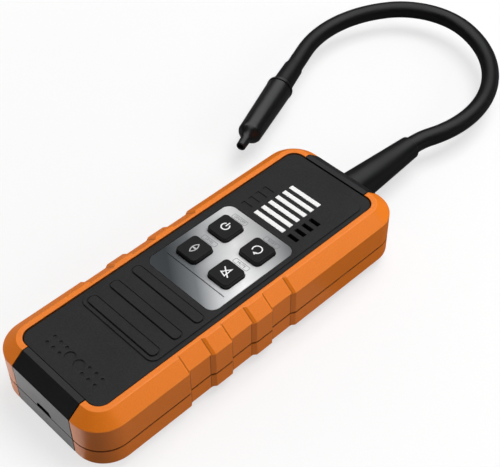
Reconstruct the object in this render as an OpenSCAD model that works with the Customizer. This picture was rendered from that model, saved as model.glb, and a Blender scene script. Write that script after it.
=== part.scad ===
// Handheld refrigerant leak detector: a two-part housing with overmoulded bumpers, a ribbed front panel
// with four keys and six light bars, and a gooseneck that carries a sensor under a pull-off cap.
// Millimetres. The origin is the centre of the flat back, +Z points out of the front face and
// +Y runs along the housing towards the neck.

/* [Housing] */
// Overall width of the housing
body_w = 71.2; // [66:0.2:80]
// Overall length of the housing without the neck
body_l = 183.6; // [178:0.2:200]
// Height of the front half above the parting plane
front_h = 18.4; // [17:0.2:24]
// Height of the rear half below the parting plane
rear_h = 14; // [13.6:0.2:20]
// Corner radius of the housing seen from the front
corner_r = 15; // [14:0.5:18]
// Width that the front chamfer takes from each side
front_run = 6.3; // [5:0.1:8]
// Height of the front chamfer
front_drop = 5.1; // [4:0.1:6]
// Width that the rear chamfer takes from each side
rear_run = 6; // [5:0.1:7]
// Height of the rear chamfer
rear_drop = 5.4; // [4:0.1:6]
// Flat lip between the chamfer and the face
lip_w = 2.7; // [2:0.1:3]
// Thickness of the hard shells' side walls
wall = 2; // [1.6:0.1:2.6]
// Thickness of the front shell's face and of the back
face_t = 2.2; // [1.8:0.1:2.8]
// Open line between the two halves
seam = 0.6; // [0.2:0.05:0.7]

/* [Bumpers] */
// Thickness of the soft overmould
bumper_t = 2.2; // [1.8:0.1:2.8]
// Depth from the face at which the lip sits on the shell
lip_t = 1.6; // [1.2:0.1:2]
// Width of the hard end block between the two bumpers
block_w = 37.8; // [34:0.2:40]
// Gap between a bumper and the shell that carries it
mould_gap = 0.1; // [0.05:0.05:0.2]
// Depth of a grip notch
grip_depth = 1.2; // [0.8:0.1:1.5]
// Length of a grip notch along the side
grip_l = 14.9; // [10:0.1:18]
// Angle of the slope at the upper end of a notch
grip_slope = 27; // [20:1:45]
// Angle of the slope at the lower end of a notch
grip_slope_low = 42; // [20:1:60]
// Distance from one grip notch to the next
grip_pitch = 24; // [20:0.5:28]
// Place of the middle notch along the housing
grip_y = -11.4; // [-20:0.2:0]
// Number of grip notches on each side
grip_count = 3; // [1:1:3]

/* [Front panel] */
// Thickness of the panel under its raised field
panel_t = 1.8; // [1.6:0.1:2.4]
// Open line around the panel
panel_gap = 0.5; // [0.2:0.05:0.7]
// Height of the raised field
field_h = 0.6; // [0.4:0.1:1]
// Width of the raised field
field_w = 48; // [46:0.2:50]
// Lower end of the raised field along the housing
field_y0 = -52.4; // [-56:0.2:-51]
// Upper end of the raised field along the housing
field_y1 = 76.9; // [72:0.2:79]
// Corner radius of the raised field
field_r = 4; // [2:0.5:6]
// Length of a grip rib across the panel
rib_l = 43; // [36:0.5:45]
// Width of a grip rib along the housing
rib_w = 4.8; // [3:0.2:6]
// Height of a grip rib
rib_h = 0.5; // [0.4:0.1:1]
// Bevel along the top of the ribs and of the raised field
crest = 0.2; // [0.1:0.05:0.3]
// Width of the fine groove around each rib
groove_w = 0.5; // [0.3:0.05:0.7]
// Depth of the fine groove around each rib
groove_d = 0.4; // [0.2:0.05:0.6]
// Distance from one grip rib to the next
rib_pitch = 12.35; // [10:0.05:12.6]
// Place of the lowest grip rib along the housing
rib_y = -47.9; // [-49:0.1:-47]
// Number of grip ribs
rib_count = 3; // [1:1:3]
// Diameter of a small dimple
dimple_d = 1.6; // [1:0.1:2]
// Distance between small dimples
dimple_pitch = 4.1; // [3:0.1:4.6]
// Place of each dimple group from the middle line
dimple_x = 11.5; // [10:0.1:13]
// Place of the dimple groups along the housing
dimple_y = -73.5; // [-75:0.1:-65]
// Diameter of the two round hollows between the dimple groups
hollow_d = 5.2; // [4:0.1:5.4]
// Place of each round hollow from the middle line
hollow_x = 2.9; // [2.8:0.1:3.2]
// Depth of the dimples and hollows
dimple_depth = 0.5; // [0.3:0.1:0.8]

/* [Keypad] */
// Width of the silver keypad plate
plate_w = 43; // [40:0.2:45]
// Length of the silver keypad plate
plate_l = 51.3; // [50:0.1:52]
// Lower edge of the plate along the housing
plate_y = -17.1; // [-18:0.1:-17]
// Thickness of the plate
plate_t = 0.8; // [0.6:0.1:1]
// Corner radius of the plate
plate_r = 4.5; // [3:0.5:6]
// Gap around the plate in its pocket
plate_gap = 0.2; // [0.1:0.05:0.3]
// Length of the engraved line on the plate
line_l = 36.8; // [30:0.2:38]
// Distance of the engraved line from the plate's lower edge
line_y = 10; // [8:0.2:10]
// Width of a key
key_w = 12.5; // [11:0.1:13]
// Corner radius of a key
key_r = 2.2; // [1.6:0.1:4]
// Height of a key above the plate
key_h = 2.2; // [1.2:0.1:2.6]
// Bevel around the top of a key
key_bevel = 0.4; // [0.3:0.1:0.8]
// Distance between keys across the plate
key_pitch_x = 20.5; // [18:0.1:21]
// Distance between keys along the plate
key_pitch_y = 19; // [17:0.1:20]
// Middle of the four keys along the housing
key_y = 11.6; // [10.6:0.1:12.6]
// Gap between a key and its opening
key_gap = 0.35; // [0.25:0.05:0.5]
// Width by which a key's hidden flange stands out
key_flange = 1; // [0.8:0.1:1.2]
// Thickness of a key's hidden flange
key_flange_t = 1; // [0.6:0.1:1]
// Travel of a key
key_travel = 0.8; // [0.4:0.1:0.9]

/* [Light bars and outlets] */
// Length of a light bar across the panel
bar_l = 18.4; // [16:0.2:19]
// Width of a light bar along the housing
bar_w = 2.4; // [1.8:0.1:3]
// Distance from one light bar to the next
bar_pitch = 4.66; // [4.2:0.02:4.8]
// Place of the lowest light bar along the housing
bar_y = 39.2; // [38.6:0.1:40]
// Number of light bars
bar_count = 6; // [4:1:6]
// Height of a light bar above the raised field
bar_rise = 0.15; // [0:0.05:0.4]
// Gap between a light bar and its opening
bar_gap = 0.15; // [0.1:0.05:0.3]
// Length of a sound slot across the panel
slot_l = 5.9; // [5:0.1:6.4]
// Width of a sound slot along the housing
slot_w = 2.3; // [1.6:0.1:2.8]
// Place of the sound slots from the middle line
slot_x = 14.9; // [14.6:0.1:15.6]
// Number of sound slots on each side
slot_count = 4; // [2:1:4]
// Depth of the blind slots on the left
blind_depth = 0.4; // [0.2:0.1:1.2]

/* [Electronics] */
// Width of the circuit board
board_w = 36; // [35:0.5:37]
// Upper end of the board along the housing
board_y1 = 66; // [65.5:0.5:70]
// Thickness of the board
board_t = 1.6; // [1.2:0.2:2]
// Distance of the board posts from the middle line
post_x = 15; // [14.6:0.1:15]
// Place of the lower board posts along the housing
post_y0 = -60; // [-65:0.5:-50]
// Place of the upper board posts along the housing
post_y1 = 62; // [61:0.5:63]
// Radius of a board post
post_r = 2.5; // [2.2:0.1:2.8]
// Side of a key switch
switch_w = 6; // [5:0.5:7]
// Height of a key switch without its plunger
switch_h = 3.5; // [2.5:0.1:4]
// Diameter of a switch plunger
plunger_d = 3.5; // [2.5:0.1:4]
// Height of a switch plunger
plunger_h = 1.5; // [1:0.1:2]
// Diameter of the buzzer
buzzer_d = 12; // [9:0.5:12]
// Height of the buzzer
buzzer_h = 8; // [5:0.5:8]
// Width of the charging socket at its base
port_w = 8.8; // [8:0.1:9.2]
// Height of the charging socket
port_h = 2.4; // [2:0.1:2.8]
// Depth of the charging socket
port_l = 7; // [6:0.5:9]
// Distance of the socket's mouth behind the end face
port_inset = 1.2; // [0.6:0.1:2]
// Gap between the charging socket and its opening
port_gap = 0.35; // [0.2:0.05:0.4]
// Width of the battery pack
battery_w = 34; // [28:0.5:36]
// Length of the battery pack
battery_l = 52; // [40:1:60]
// Thickness of the battery pack
battery_t = 9.5; // [6:0.5:10]
// Middle of the battery pack along the housing
battery_y = -36; // [-45:1:-30]

/* [Air pump] */
// Diameter of the pump's motor
pump_d = 13; // [10:0.5:13]
// Length of the pump's motor
pump_motor_l = 24; // [18:1:26]
// Length of the pump's head
pump_head_l = 14; // [10:1:15]
// Free length of the suction hose between the pump and the neck's boss
hose_l = 26; // [25:0.5:29]
// Outer diameter of the suction hose
hose_d = 5; // [4:0.1:5]
// Wall of the suction hose
hose_wall = 1; // [0.6:0.1:1.2]
// Length of the hose barbs
barb_l = 7; // [5:0.5:8]

/* [Screws] */
// Diameter of a case screw
case_screw_d = 3; // [2.5:0.1:3.2]
// Length of a case screw under its head
case_screw_l = 18; // [14:0.5:20]
// Head diameter of a case screw
case_head_d = 5.2; // [4.8:0.1:5.4]
// Head height of a case screw
case_head_h = 2.2; // [1.6:0.1:2.4]
// Depth of the screw recesses in the back
recess_depth = 4; // [3:0.1:5]
// Distance of the case screws from the middle line
case_screw_x = 22.5; // [22.3:0.1:22.8]
// Distance of the case screws from the housing's ends
case_screw_end = 15.8; // [14.8:0.1:17.6]
// Diameter of a board screw
board_screw_d = 2; // [1.6:0.1:2.2]
// Length of a board screw under its head
board_screw_l = 7; // [5:0.5:8]
// Gap around a screw in its hole
screw_gap = 0.05; // [0.03:0.01:0.1]

/* [Neck] */
// Root diameter of the tapered neck boss
boss_d0 = 18; // [16:0.2:20]
// Tip diameter of the tapered neck boss
boss_d1 = 12.2; // [12:0.2:14]
// Length of the boss outside the housing
boss_l = 49.8; // [40:0.2:56]
// Depth of the neck's socket in the boss
boss_socket = 24; // [15:1:30]
// Diameter of the flange that the housing holds
boss_flange_d = 22; // [21:0.2:22.4]
// Thickness of the flange that the housing holds
boss_flange_t = 2; // [1.6:0.1:2.4]
// Straight length of the boss outside the housing
boss_neck_l = 3; // [2:0.1:5]
// Diameter of the gooseneck
neck_d = 9.5; // [8:0.1:10]
// Diameter of the wire passage in the sensor's sleeve and holder
neck_bore_d = 5; // [3:0.2:6]
// Gap around the gooseneck in its sockets
neck_gap = 0.1; // [0.05:0.05:0.2]
// Straight length between the boss and the first bend
neck_straight0 = 0.9; // [0.5:0.1:10]
// Radius of the first bend, to the right
bend_r1 = 38.5; // [30:0.5:60]
// Angle of the first bend
bend_a1 = 20; // [10:1:25]
// Radius of the second bend, to the left
bend_r2 = 68; // [60:0.5:80]
// Angle of the second bend
bend_a2 = 94; // [85:1:100]
// Radius of the third bend, to the left
bend_r3 = 41.5; // [38:0.5:55]
// Angle of the third bend
bend_a3 = 72; // [65:1:80]
// Radius of the fourth bend, to the left
bend_r4 = 68.5; // [60:0.5:80]
// Angle of the fourth bend
bend_a4 = 56; // [48:1:60]
// Straight length between the last bend and the sensor
neck_straight1 = 18; // [10:0.5:24]

/* [Sensor] */
// Diameter of the sleeve where the neck enters
sleeve_d0 = 10.8; // [10.6:0.1:12]
// Diameter of the sleeve at the collar
sleeve_d1 = 11.4; // [10.8:0.1:12.4]
// Length of the sleeve
sleeve_l = 17; // [13:0.5:20]
// Length of the neck inside the sleeve
sleeve_socket = 9; // [6:0.5:11]
// Diameter of the collar
collar_d = 14.8; // [14.2:0.1:16]
// Length of the collar
collar_l = 3.3; // [2.5:0.1:5]
// Length of the collar's bevel
collar_bevel = 1.8; // [1:0.1:2]
// Open line between the collar and the cap
cap_seam = 0.4; // [0.1:0.05:0.6]
// Diameter of the cap at its open end
cap_d0 = 14.4; // [13.8:0.1:15.4]
// Diameter of the cap at its shoulder
cap_d1 = 12.8; // [12.8:0.1:13.8]
// Length of the cap's barrel
cap_barrel_l = 39.5; // [35:0.5:46]
// Length of the cap's hollow shoulder
cap_shoulder_l = 6.5; // [4:0.5:10]
// Diameter of the nozzle at its root
nozzle_d0 = 5.4; // [5:0.1:7]
// Diameter of the nozzle at its tip
nozzle_d1 = 5; // [4.4:0.1:5.6]
// Length of the nozzle
nozzle_l = 5.5; // [3:0.5:12]
// Diameter of the nozzle's hole
nozzle_bore_d = 2.8; // [2:0.1:3.2]
// Diameter of the cap's bore
cap_bore_d = 11.4; // [10.6:0.1:11.6]
// Depth of the cap's bore
cap_bore_l = 27; // [26:0.5:30]
// Length of the funnel from the cap's bore to the nozzle's hole
funnel_l = 6; // [4:0.5:7]
// Gap between the cap and the holder's spigot
cap_gap = 0.1; // [0.05:0.05:0.2]
// Length of the holder's spigot inside the cap
spigot_l = 10; // [6:0.5:11]
// Diameter of the sensor's can
sensor_d = 8.8; // [7:0.1:9]
// Height of the sensor's can
sensor_h = 10; // [7:0.5:11]
// Thickness of the filter disc
filter_t = 2; // [1:0.1:3]

/* [Hidden] */
$fn = 48;

// Heights above the parting plane, in the half that they belong to
pocket_z = front_h - field_h - panel_t;
face_z = pocket_z - face_t;
panel_top = pocket_z + panel_t;
floor_z = rear_h - face_t;
board_z = port_gap + port_h;
board_top = board_z + board_t;
flange_z = pocket_z - 0.1 - key_flange_t;
plunger_top = board_top + switch_h + plunger_h;
stem_z = plunger_top + key_travel + 0.1;

// Distances in from the outer skin
core_in = bumper_t + mould_gap;
cavity_in = core_in + wall;
face_in = front_run + lip_w;
back_in = rear_run + lip_w;
block_gap = 0.4;
rib_r = rib_w * 0.4;

// Ends of things along the housing
end_y = body_l / 2;
inner_y = end_y - cavity_in;
board_y0 = 0.3 - inner_y;
bars_mid_y = bar_y + bar_pitch * (bar_count - 1) / 2;
slots_mid_y = bar_y + bar_pitch * (slot_count - 1) / 2;
boss_y = inner_y - mould_gap - boss_flange_t;
seat_gap = 0.3;
boss_hole_gap = 0.15;
hose_gap = 0.2;
pump_y1 = boss_y - 2 * hose_gap - hose_l;
pump_floor = rear_h - floor_z + seat_gap;
barb_d = hose_d - 2 * hose_wall - 0.2;
case_post_r = case_head_d / 2 + 1.3;

// The neck's course in the parting plane, as [x, y, heading] at the end of each stretch
function ahead(p, d) = [p[0] + d * cos(p[2]), p[1] + d * sin(p[2]), p[2]];
function left(p, r, a) = [p[0] + r * (sin(p[2] + a) - sin(p[2])),
    p[1] - r * (cos(p[2] + a) - cos(p[2])), p[2] + a];
function right(p, r, a) = [p[0] - r * (sin(p[2] - a) - sin(p[2])),
    p[1] + r * (cos(p[2] - a) - cos(p[2])), p[2] - a];
neck_root = [0, end_y + boss_l - boss_socket, 90];
bend_p1 = ahead(neck_root, boss_socket + neck_straight0);
bend_p2 = right(bend_p1, bend_r1, bend_a1);
bend_p3 = left(bend_p2, bend_r2, bend_a2);
bend_p4 = left(bend_p3, bend_r3, bend_a3);
neck_end = left(bend_p4, bend_r4, bend_a4);
sleeve_p = ahead(neck_end, neck_straight1);

// Poses of the neck's sections, a few degrees apart in the bends
neck_sides = 24;
bend_step = 6;
function turns(a) = ceil(a / bend_step);
neck_poses = concat([neck_root],
    [for (i = [0 : turns(bend_a1)]) right(bend_p1, bend_r1, bend_a1 * i / turns(bend_a1))],
    [for (i = [1 : turns(bend_a2)]) left(bend_p2, bend_r2, bend_a2 * i / turns(bend_a2))],
    [for (i = [1 : turns(bend_a3)]) left(bend_p3, bend_r3, bend_a3 * i / turns(bend_a3))],
    [for (i = [1 : turns(bend_a4)]) left(bend_p4, bend_r4, bend_a4 * i / turns(bend_a4))],
    [ahead(neck_end, neck_straight1 + sleeve_socket)]);

// Stations along the sensor's axis, from the sleeve's open end
collar_s = sleeve_l;
spigot_s = collar_s + collar_l;
sensor_s = spigot_s + spigot_l;
cap_s = spigot_s + cap_seam;
shoulder_s = cap_s + cap_barrel_l;
nozzle_s = shoulder_s + cap_shoulder_l;
tip_s = nozzle_s + nozzle_l;
seat_s = cap_s + cap_bore_l;

// A half of the housing is drawn with z = 0 on the parting plane and its face upwards
module front_half() {
    translate([0, 0, rear_h]) children();
}

module rear_half() {
    translate([0, 0, rear_h]) mirror([0, 0, 1]) children();
}

// Side profile of a half, b inside the outer skin, as [distance in, height] from z_low to z_high
function skin(b, h, run, drop, z_low, z_high) =
    let (s = drop / run, q = sqrt(1 + s * s))
    [[b, z_low], [b, h - drop + b * (s - q)], [(z_high - h + drop + b * q) / s, z_high]];

// Turns distances in from the skin into radii of a corner
function radii(r, p) = [for (v = p) [r - v[0], v[1]]];

// A rounded block whose whole edge has the profile p, from its lowest to its highest point
module rim_block(w, l, r, p) {
    z0 = p[0][1];
    z1 = p[len(p) - 1][1];
    section = concat(radii(r, p), [[0, z1], [0, z0]]);
    half = [w / 2 - r, l / 2 - r];
    translate([-half[0], -half[1], z0]) cube([2 * half[0], 2 * half[1], z1 - z0]);
    for (turn = [0, 1, 2, 3]) {
        out = turn % 2 == 0 ? half[0] : half[1];
        along = turn % 2 == 0 ? half[1] : half[0];
        rotate([0, 0, 90 * turn]) {
            translate([out, along, 0]) rotate([90, 0, 0]) linear_extrude(2 * along) polygon(section);
            translate([out, along, 0]) rotate_extrude(angle = 90) polygon(section);
        }
    }
}

// A flat plate with rounded corners
module rounded_plate(w, l, r, h) {
    rim_block(w, l, r, [[0, 0], [0, h]]);
}

// A bar of the section p along the right side, round both corners and on to x = x_end
module side_rail(w, l, r, p, x_end) {
    section = radii(r, p);
    half = [w / 2 - r, l / 2 - r];
    translate([half[0], half[1], 0]) rotate([90, 0, 0]) linear_extrude(2 * half[1]) polygon(section);
    for (side = [0, 1]) mirror([0, side, 0]) {
        translate([half[0], half[1], 0]) rotate_extrude(angle = 90) polygon(section);
        translate([x_end, half[1], 0]) rotate([90, 0, 90]) linear_extrude(half[0] - x_end) polygon(section);
    }
}

// Sloped notches cut into the right side's wall and chamfer
module grip_notches(h, run, drop) {
    lean = atan2(run, drop);
    slant = sqrt(run * run + drop * drop);
    for (i = [0 : grip_count - 1])
        translate([body_w / 2, grip_y + (i - (grip_count - 1) / 2) * grip_pitch, 0]) {
            translate([0, 0, -1]) linear_extrude(h) notch_plan(grip_depth);
            translate([0, 0, h - drop]) rotate([0, -lean, 0]) translate([0, 0, -2])
                linear_extrude(slant + 6) notch_plan(grip_depth * cos(lean));
        }
}

// A notch seen from its end, with a slope up to the skin at either side
module notch_plan(depth) {
    low = 1 / tan(grip_slope_low);
    high = 1 / tan(grip_slope);
    polygon([[1, -grip_l / 2 - low], [1, grip_l / 2 + high], [-depth, grip_l / 2 - high * depth],
        [-depth, low * depth - grip_l / 2]]);
}

// The soft overmould on the right side of one half
module bumper(h, run, drop) {
    outer = [[0, seam / 2], [0, h - drop], [run, h], [run + lip_w, h], [run + lip_w, h - lip_t]];
    inner = skin(bumper_t, h, run, drop, seam / 2, h - lip_t);
    difference() {
        side_rail(body_w, body_l, corner_r, concat(outer, [inner[2], inner[1], inner[0]]), block_w / 2);
        grip_notches(h, run, drop);
    }
}

// The hard end blocks of one half, flush with the bumpers, down to the face level z_face
module end_blocks(h, run, drop, edge, z_face) {
    section = [[0, seam / 2], [0, h - drop], [run, h], [edge, h], [edge, z_face], [corner_r, z_face],
        [corner_r, seam / 2]];
    width = block_w - 2 * block_gap;
    for (side = [0, 1]) mirror([0, side, 0])
        translate([-width / 2, body_l / 2 - corner_r, 0]) rotate([90, 0, 90])
            linear_extrude(width) polygon(radii(corner_r, section));
}

module at_case_screws() {
    for (sx = [-1, 1], sy = [-1, 1])
        translate([sx * case_screw_x, sy * (end_y - case_screw_end), 0]) children();
}

module at_board_posts() {
    for (sx = [-1, 1], y = [post_y0, post_y1]) translate([sx * post_x, y, 0]) children();
}

module at_keys() {
    for (sx = [-1, 1], sy = [-1, 1]) at_key(sx, sy) children();
}

module at_key(sx, sy) {
    translate([sx * key_pitch_x / 2, key_y + sy * key_pitch_y / 2, 0]) children();
}

module at_bars() {
    for (i = [0 : bar_count - 1]) translate([0, bar_y + i * bar_pitch, 0]) children();
}

// The ribs stand on the floor of their grooves
module at_ribs() {
    for (i = [0 : rib_count - 1]) translate([0, rib_y + i * rib_pitch, front_h - groove_d]) children();
}

module at_slots(side) {
    for (i = [0 : slot_count - 1]) translate([side * slot_x, bar_y + i * bar_pitch, 0]) children();
}

// A box centred in x and y that stands on z = 0
module box(w, l, h) {
    translate([-w / 2, -l / 2, 0]) cube([w, l, h]);
}

// The round hole for the neck boss in the upper end wall, with a groove for its flange
module boss_hole() {
    translate([0, inner_y - 1, 0]) rotate([-90, 0, 0])
        cylinder(d = boss_d0 + 2 * boss_hole_gap, h = cavity_in + 2);
    translate([0, boss_y - boss_hole_gap, 0]) rotate([-90, 0, 0])
        cylinder(d = boss_flange_d + 2 * boss_hole_gap, h = boss_flange_t + 2 * boss_hole_gap);
}

// Section of the charging socket, wide at its base, grown by g
module port_section(g) {
    base = port_w / 2 + g;
    top = port_w * 0.36 + g;
    polygon([[-base, port_gap - g], [base, port_gap - g], [base, port_gap + port_h * 0.45],
        [top, port_gap + port_h + g], [-top, port_gap + port_h + g], [-base, port_gap + port_h * 0.45]]);
}

module front_case() {
    core = concat(skin(core_in, front_h, front_run, front_drop, seam / 2, front_h - lip_t - mould_gap),
        [[face_in, front_h - lip_t - mould_gap], [face_in, pocket_z]]);
    color("#1d1d1f") front_half() difference() {
        union() {
            difference() {
                union() {
                    rim_block(body_w, body_l, corner_r, core);
                    end_blocks(front_h, front_run, front_drop, face_in, pocket_z);
                }
                rim_block(body_w, body_l, corner_r,
                    skin(cavity_in, front_h, front_run, front_drop, -1, face_z));
            }
            at_case_screws() cylinder(r = case_post_r, h = face_z + 0.5);
            at_board_posts() translate([0, 0, board_top]) cylinder(r = post_r, h = face_z + 0.5 - board_top);
        }
        front_windows();
        boss_hole();
        translate([0, 2 - inner_y, 0]) rotate([90, 0, 0]) linear_extrude(cavity_in + 4) port_section(port_gap);
        at_case_screws() translate([0, 0, -1])
            cylinder(d = case_screw_d + 2 * screw_gap, h = 1.5 + case_screw_l - rear_h + recess_depth);
        at_board_posts() translate([0, 0, board_top - 1])
            cylinder(d = board_screw_d + 2 * screw_gap, h = 1.5 + board_screw_l - board_t);
    }
}

// Openings in the front shell's face behind the keys, the light bars and the sound slots
module front_windows() {
    reach = key_w + 2 * key_flange + 1.2;
    translate([0, key_y, face_z - 1]) box(key_pitch_x + reach, key_pitch_y + reach, face_t + 2);
    translate([0, bars_mid_y, face_z - 1])
        box(bar_l + 2.6, (bar_count - 1) * bar_pitch + bar_w + 2.6, face_t + 2);
    at_slots(1) translate([0, 0, face_z - 1]) box(slot_l, slot_w, face_t + 2);
}

module rear_case() {
    core = concat(skin(core_in, rear_h, rear_run, rear_drop, seam / 2, rear_h - lip_t - mould_gap),
        [[back_in + mould_gap, rear_h - lip_t - mould_gap], [back_in + mould_gap, rear_h]]);
    color("#1d1d1f") rear_half() difference() {
        union() {
            difference() {
                union() {
                    rim_block(body_w, body_l, corner_r, core);
                    end_blocks(rear_h, rear_run, rear_drop, back_in + mould_gap, rear_h);
                }
                rim_block(body_w, body_l, corner_r, skin(cavity_in, rear_h, rear_run, rear_drop, -1, floor_z));
            }
            at_case_screws() cylinder(r = case_post_r, h = floor_z + 0.5);
            battery_fence();
            pump_fence();
        }
        boss_hole();
        at_case_screws() {
            translate([0, 0, rear_h - recess_depth]) cylinder(d = case_head_d + 0.4, h = recess_depth + 1);
            translate([0, 0, -1]) cylinder(d = case_screw_d + 4 * screw_gap, h = rear_h);
        }
    }
}

// Low walls on the floor that keep the battery in place
module battery_fence() {
    height = battery_t * 0.6;
    difference() {
        translate([0, battery_y, floor_z - height])
            box(battery_w + 2 * seat_gap + 3, battery_l + 2 * seat_gap + 3, height + 0.5);
        translate([0, battery_y, 0]) box(battery_w + 2 * seat_gap, battery_l + 2 * seat_gap, floor_z);
    }
}

// Low walls on the floor beside the pump
module pump_fence() {
    height = pump_d * 0.5;
    for (side = [-1, 1])
        translate([side * (pump_d / 2 + seat_gap + 0.75), pump_y1 - pump_head_l / 2, floor_z - height])
            box(1.5, pump_head_l, height + 0.5);
}

module front_bumper_right() {
    color("#e57c22") front_half() bumper(front_h, front_run, front_drop);
}

module front_bumper_left() {
    color("#e57c22") mirror([1, 0, 0]) front_half() bumper(front_h, front_run, front_drop);
}

module rear_bumper_right() {
    color("#e57c22") rear_half() bumper(rear_h, rear_run, rear_drop);
}

module rear_bumper_left() {
    color("#e57c22") mirror([1, 0, 0]) rear_half() bumper(rear_h, rear_run, rear_drop);
}

module front_panel() {
    inset = face_in + panel_gap;
    field_l = field_y1 - field_y0;
    color("#363638") front_half() difference() {
        union() {
            difference() {
                union() {
                    translate([0, 0, pocket_z])
                        rounded_plate(body_w - 2 * inset, body_l - 2 * inset, corner_r - inset, panel_t);
                    translate([0, (field_y0 + field_y1) / 2, panel_top])
                        rim_block(field_w, field_l, field_r, [[0, 0], [0, field_h - crest], [crest, field_h]]);
                }
                at_ribs() rounded_plate(rib_l + 2 * groove_w, rib_w + 2 * groove_w, rib_r + groove_w,
                    groove_d + 1);
            }
            at_ribs() rim_block(rib_l, rib_w, rib_r, [[0, 0], [0, groove_d + rib_h - crest],
                [crest, groove_d + rib_h]]);
        }
        translate([0, plate_y + plate_l / 2, front_h - plate_t])
            rounded_plate(plate_w + 2 * plate_gap, plate_l + 2 * plate_gap, plate_r + plate_gap, plate_t + 1);
        at_keys() translate([0, 0, pocket_z - 1])
            rounded_plate(key_w + 2 * key_gap, key_w + 2 * key_gap, key_r + key_gap, panel_t + field_h + 2);
        at_bars() translate([0, 0, pocket_z - 1])
            box(bar_l + 2 * bar_gap, bar_w + 2 * bar_gap, panel_t + field_h + 2);
        at_slots(1) translate([0, 0, pocket_z - 1]) box(slot_l, slot_w, panel_t + field_h + 2);
        at_slots(-1) translate([0, 0, front_h - blind_depth]) box(slot_l, slot_w, blind_depth + 1);
        panel_dimples();
    }
}

// Two groups of small dimples with two round hollows between them
module panel_dimples() {
    for (side = [-1, 1], column = [-1, 0, 1], row = [-0.5, 0.5])
        translate([side * dimple_x + column * dimple_pitch, dimple_y + row * dimple_pitch,
            panel_top - dimple_depth]) cylinder(d = dimple_d, h = 1 + dimple_depth);
    for (side = [-1, 1])
        translate([side * hollow_x, dimple_y, panel_top - dimple_depth])
            cylinder(d = hollow_d, h = 1 + dimple_depth);
}

module keypad_plate() {
    color("#c9cbce") front_half() difference() {
        translate([0, plate_y + plate_l / 2, front_h - plate_t])
            rounded_plate(plate_w, plate_l, plate_r, plate_t);
        at_keys() translate([0, 0, front_h - plate_t - 1])
            rounded_plate(key_w + 2 * key_gap, key_w + 2 * key_gap, key_r + key_gap, plate_t + 2);
        translate([0, plate_y + line_y, front_h - plate_t * 0.3]) box(line_l, plate_t * 0.5, 1);
    }
}

// A bevelled cap on a hidden flange, with a stem that reaches down to its switch
module key_body() {
    flange_w = key_w + 2 * key_flange;
    cap_z = flange_z + key_flange_t;
    cap_top = front_h + key_h;
    rim_block(key_w, key_w, key_r, [[0, cap_z], [0, cap_top - key_bevel], [key_bevel, cap_top]]);
    translate([0, 0, flange_z]) box(flange_w, flange_w, key_flange_t);
    translate([0, 0, stem_z]) cylinder(d = plunger_d + 0.5, h = flange_z - stem_z);
}

module power_key() {
    color("#262628") front_half() at_key(-1, 1) key_body();
}

module reset_key() {
    color("#262628") front_half() at_key(1, 1) key_body();
}

module sensitivity_key() {
    color("#262628") front_half() at_key(-1, -1) key_body();
}

module mute_key() {
    color("#262628") front_half() at_key(1, -1) key_body();
}

// Six bars on a common web, each with a leg that reaches down to its lamp
module light_guide() {
    web_t = face_t * 0.6;
    web_z = pocket_z - 0.1 - web_t;
    leg_z = board_top + 1.3;
    color("#f4f4f2") front_half() union() {
        translate([0, bars_mid_y, web_z])
            box(bar_l + 1.6, (bar_count - 1) * bar_pitch + bar_w + 1.6, web_t);
        at_bars() translate([0, 0, web_z + web_t]) box(bar_l, bar_w, front_h + bar_rise - web_z - web_t);
        at_bars() translate([0, 0, leg_z]) box(bar_l / 3, bar_w, web_z - leg_z);
    }
}

module key_switches() {
    color("#3a3a3c") front_half() at_keys() translate([0, 0, board_top]) {
        box(switch_w, switch_w, switch_h);
        translate([0, 0, switch_h]) cylinder(d = plunger_d, h = plunger_h);
    }
}

module bar_leds() {
    color("#f2efe0") front_half() at_bars() translate([0, 0, board_top]) box(3.2, 1.6, 0.8);
}

module main_board() {
    color("#1f6b3a") front_half() difference() {
        translate([-board_w / 2, board_y0, board_z]) cube([board_w, board_y1 - board_y0, board_t]);
        at_board_posts() translate([0, 0, board_z - 1])
            cylinder(d = board_screw_d + 4 * screw_gap, h = board_t + 2);
    }
}

module buzzer() {
    color("#202022") front_half() translate([slot_x, slots_mid_y, board_top]) difference() {
        cylinder(d = buzzer_d, h = buzzer_h);
        translate([0, 0, buzzer_h * 0.7]) cylinder(d = 2, h = buzzer_h);
    }
}

module charge_port() {
    floor_t = 0.4;
    color("#b9bcc0") front_half() translate([0, port_inset - end_y + port_l, 0]) {
        difference() {
            rotate([90, 0, 0]) linear_extrude(port_l) port_section(0);
            translate([0, -1, 0]) rotate([90, 0, 0]) linear_extrude(port_l) port_section(-floor_t);
        }
        translate([-port_w * 0.28, -port_l * 0.8, port_gap + port_h * 0.55])
            cube([port_w * 0.56, port_l * 0.8 - 1, port_h * 0.2]);
    }
}

module battery() {
    color("#3f6fa8") translate([0, battery_y, pump_floor]) rounded_plate(battery_w, battery_l, 2, battery_t);
}

// A small diaphragm pump: a round motor, a square head and a barb for the hose
module air_pump() {
    middle = pump_floor + pump_d / 2;
    head_y = pump_y1 - pump_head_l;
    color("#8a8d92") union() {
        translate([0, head_y - pump_motor_l, middle]) rotate([-90, 0, 0])
            cylinder(d = pump_d - 0.6, h = pump_motor_l);
        translate([0, head_y + pump_head_l / 2, pump_floor]) box(pump_d, pump_head_l, pump_d);
        translate([0, pump_y1, rear_h]) rotate([-90, 0, 0]) cylinder(d = barb_d, h = barb_l);
    }
}

module suction_hose() {
    color("#d8d2b0") translate([0, pump_y1 + hose_gap, rear_h]) rotate([-90, 0, 0])
        tube(hose_d, hose_d - 2 * hose_wall, hose_l);
}

module tube(d_out, d_in, l) {
    difference() {
        cylinder(d = d_out, h = l);
        translate([0, 0, -1]) cylinder(d = d_in, h = l + 2);
    }
}

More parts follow.
